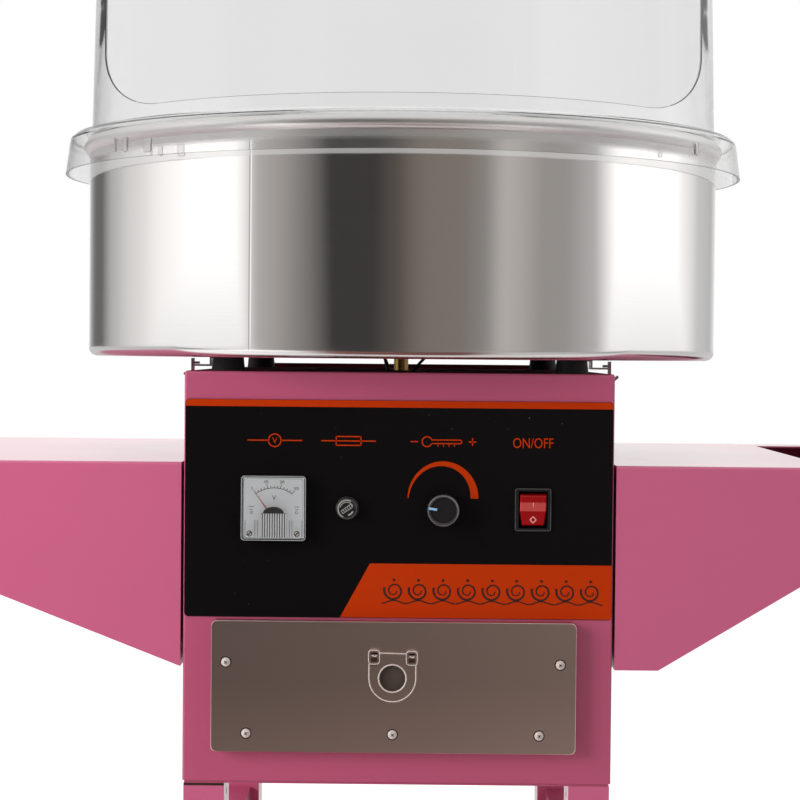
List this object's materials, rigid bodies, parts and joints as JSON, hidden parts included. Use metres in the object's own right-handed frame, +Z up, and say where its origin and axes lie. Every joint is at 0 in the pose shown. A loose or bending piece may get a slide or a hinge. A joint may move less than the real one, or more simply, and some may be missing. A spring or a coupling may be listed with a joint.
{
  "type": "cotton candy machine",
  "caption": "Electric cotton candy machine on a wheeled cart: boxy body with controls and drawer, round steel bowl with spinner, clear dome and side shelves.",
  "frame": {"origin": "on the floor, under the spindle axis and the middle of the whole outline", "axes": "+X to the right as seen from the controls, +Y to the back, +Z up; the controls face -Y"},
  "size_m": [0.904, 0.5496, 1.2],
  "materials": {
    "pink_paint": "powder coated, satin",
    "steel": "polished stainless",
    "drawer_steel": "brushed stainless",
    "galvanised": "zinc plated",
    "chrome": "plated",
    "panel": "printed satin overlay",
    "black_plastic": "moulded",
    "dial": "printed card",
    "needle_red": "painted",
    "clear": "clear moulding",
    "rocker_red": "translucent red",
    "glass": "clear",
    "rubber": "matt",
    "tyre": "matt",
    "wheel_paint": "powder coated",
    "brass": "turned",
    "aluminium": "turned",
    "board": "circuit board"
  },
  "bodies": {
    "cart": {"body_shell": "pink_paint", "base_pan": "pink_paint", "back_panel": "pink_paint", "power_inlet": "black_plastic", "front_left_leg": "pink_paint", "rear_left_leg": "pink_paint", "front_right_leg": "pink_paint", "rear_right_leg": "pink_paint", "side_rails": "pink_paint", "lower_shelf": "pink_paint", "frame_bolts": "galvanised", "rubber_feet": "rubber", "axle": "galvanised", "axle_fittings": "galvanised", "left_shelf": "pink_paint", "right_shelf": "pink_paint", "shelf_bolts": "galvanised", "push_handle": "chrome", "handle_grip": "rubber", "control_panel": "panel", "meter_case": "black_plastic", "meter_dial": "dial", "meter_cover": "clear", "meter_screws": "chrome", "fuse_holder": "black_plastic", "temperature_control": "black_plastic", "switch_bezel": "black_plastic", "drawer_runners": "galvanised", "bowl": "steel", "bowl_feet": "rubber", "bowl_catches": "steel", "latch_bases": "galvanised", "control_board": "board", "motor_mount": "galvanised", "motor": "aluminium", "brush_block": "black_plastic", "brushes": "galvanised"},
    "wheel_front": {"front_wheel": "wheel_paint", "front_tyre": "tyre"},
    "wheel_rear": {"rear_wheel": "wheel_paint", "rear_tyre": "tyre"},
    "drawer": {"drawer_front": "drawer_steel", "drawer_box": "drawer_steel", "drawer_screws": "chrome", "pull_bracket": "chrome"},
    "pull": {"pull_plate": "chrome"},
    "needle": {"meter_needle": "needle_red"},
    "fuse": {"fuse_cap": "black_plastic", "glass_fuse": "glass"},
    "knob": {"temperature_knob": "black_plastic"},
    "rocker": {"switch_rocker": "rocker_red"},
    "latch_right": {"right_latch_hook": "galvanised"},
    "latch_left": {"left_latch_hook": "galvanised"},
    "spinner": {"spindle": "brass", "slip_disc": "black_plastic", "slip_rings": "brass", "spinner_head": "aluminium", "heater_band": "aluminium", "spinner_cover": "aluminium"},
    "dome_lid": {"dome": "clear"}
  },
  "joints": [
    {"name": "wheel_front_spin", "type": "hinge", "parent": "cart", "child": "wheel_front", "pos_m": [-0.1415, -0.2143, 0.125], "axis": [0, 1, 0], "continuous": true},
    {"name": "wheel_rear_spin", "type": "hinge", "parent": "cart", "child": "wheel_rear", "pos_m": [-0.1415, 0.2143, 0.125], "axis": [0, 1, 0], "continuous": true},
    {"name": "drawer_slide", "type": "slide", "parent": "cart", "child": "drawer", "axis": [0, -1, 0], "range_m": [0, 0.24]},
    {"name": "pull_hinge", "type": "hinge", "parent": "drawer", "child": "pull", "pos_m": [-0.003, -0.2091, 0.49435], "axis": [-1, 0, 0], "range_deg": [0, 95]},
    {"name": "needle_swing", "type": "hinge", "parent": "cart", "child": "needle", "pos_m": [-0.091, -0.2, 0.5935], "axis": [0, 1, 0], "range_deg": [0, 72], "stiffness_Nm_per_rad": 0.0002},
    {"name": "fuse_cap_turn", "type": "hinge", "parent": "cart", "child": "fuse", "pos_m": [-0.0376, -0.2, 0.6015], "axis": [0, -1, 0], "range_deg": [0, 45]},
    {"name": "knob_turn", "type": "hinge", "parent": "cart", "child": "knob", "pos_m": [0.0324, -0.2, 0.6015], "axis": [0, 1, 0], "range_deg": [0, 270]},
    {"name": "rocker_tilt", "type": "hinge", "parent": "cart", "child": "rocker", "pos_m": [0.0983, -0.193, 0.6015], "axis": [-1, 0, 0], "range_deg": [0, 18]},
    {"name": "latch_right_turn", "type": "hinge", "parent": "cart", "child": "latch_right", "pos_m": [0.168, 0, 0.674], "axis": [0, 1, 0], "range_deg": [0, 60]},
    {"name": "latch_left_turn", "type": "hinge", "parent": "cart", "child": "latch_left", "pos_m": [-0.168, 0, 0.674], "axis": [0, -1, 0], "range_deg": [0, 60]},
    {"name": "spinner_spin", "type": "hinge", "parent": "cart", "child": "spinner", "pos_m": [0, 0, 0.745], "axis": [0, 0, 1], "continuous": true},
    {"name": "dome_lift", "type": "slide", "parent": "cart", "child": "dome_lid", "axis": [0, 0, 1], "range_m": [0, 0.3]}
  ]
}
